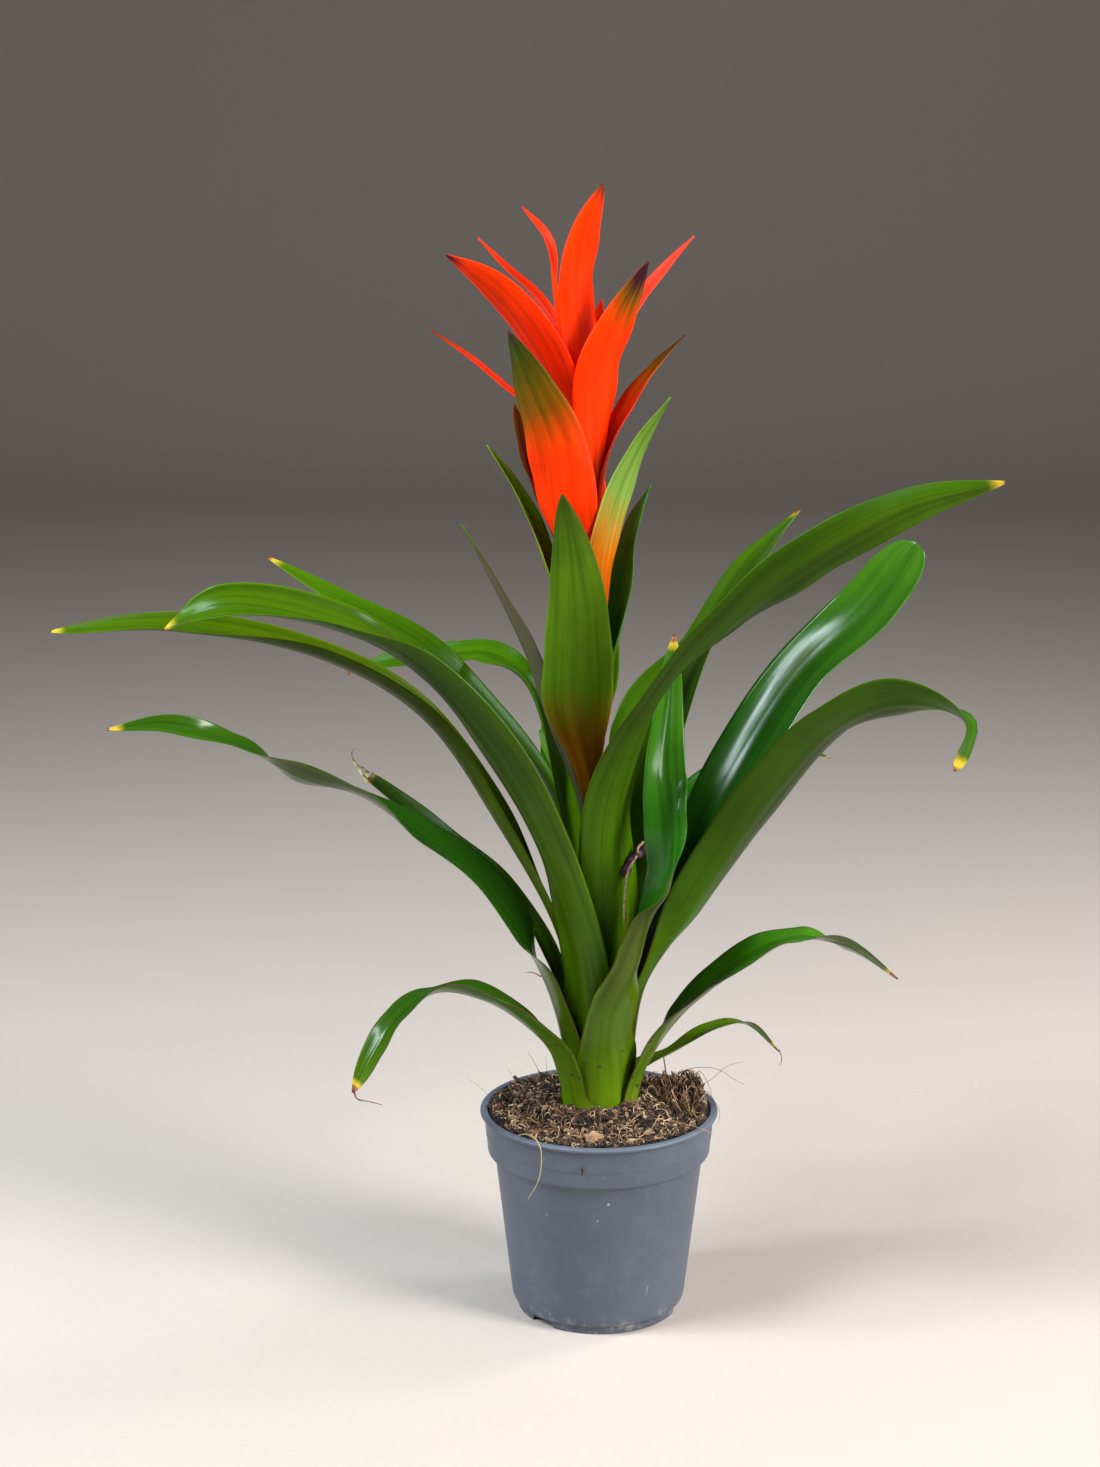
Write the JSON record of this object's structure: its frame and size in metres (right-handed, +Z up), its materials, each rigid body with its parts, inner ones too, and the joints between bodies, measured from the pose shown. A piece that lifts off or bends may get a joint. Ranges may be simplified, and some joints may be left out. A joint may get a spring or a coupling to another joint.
{
  "type": "potted guzmania",
  "caption": "Guzmania house plant: a rosette of arching strap leaves around an upright orange and green flower stalk, in a round plastic nursery pot filled with peat.",
  "frame": {"origin": "centre of the pot's underside, on the surface that it stands on", "axes": "+Z up along the pot's axis, +X to the viewer's right and +Y away from the viewer as pictured"},
  "size_m": [0.4424, 0.3188, 0.5633],
  "materials": {
    "pot_plastic": "satin slate grey moulded plastic, lightly scuffed",
    "peat": "rough fibrous peat and coir",
    "stem_green": "matte green stalk",
    "leaf_green": "glossy veined leaf, paler and olive underneath",
    "bract_green": "satin green bract, tinged brown",
    "bract_orange": "satin orange-red bract with a green or dark tip"
  },
  "bodies": {
    "root": {"pot": "pot_plastic", "soil": "peat", "stem": "stem_green", "leaf_low_left": "leaf_green", "leaf_low_right": "leaf_green", "leaf_low_small": "leaf_green", "leaf_low_back": "leaf_green", "leaf_front": "leaf_green", "leaf_back": "leaf_green", "leaf_left_twisted": "leaf_green", "leaf_right_low": "leaf_green", "leaf_right_hidden": "leaf_green", "leaf_left_broken": "leaf_green", "leaf_right_broad": "leaf_green", "leaf_right_far": "leaf_green", "leaf_left_arch": "leaf_green", "leaf_left_long": "leaf_green", "leaf_right_back": "leaf_green", "leaf_right_arch": "leaf_green", "leaf_back_short": "leaf_green", "leaf_left_back": "leaf_green", "leaf_left_short": "leaf_green", "bract_01": "bract_green", "bract_02": "bract_green", "bract_03": "bract_green", "bract_04": "bract_green", "bract_05": "bract_green", "bract_06": "bract_green", "bract_07": "bract_orange", "bract_08": "bract_orange", "bract_09": "bract_orange", "bract_10": "bract_orange", "bract_11": "bract_orange", "bract_12": "bract_orange", "bract_13": "bract_orange", "bract_14": "bract_orange", "bract_15": "bract_orange", "bract_16": "bract_orange", "bract_17": "bract_orange", "bract_18": "bract_orange", "bract_19": "bract_orange", "bract_20": "bract_orange"}
  },
  "joints": []
}
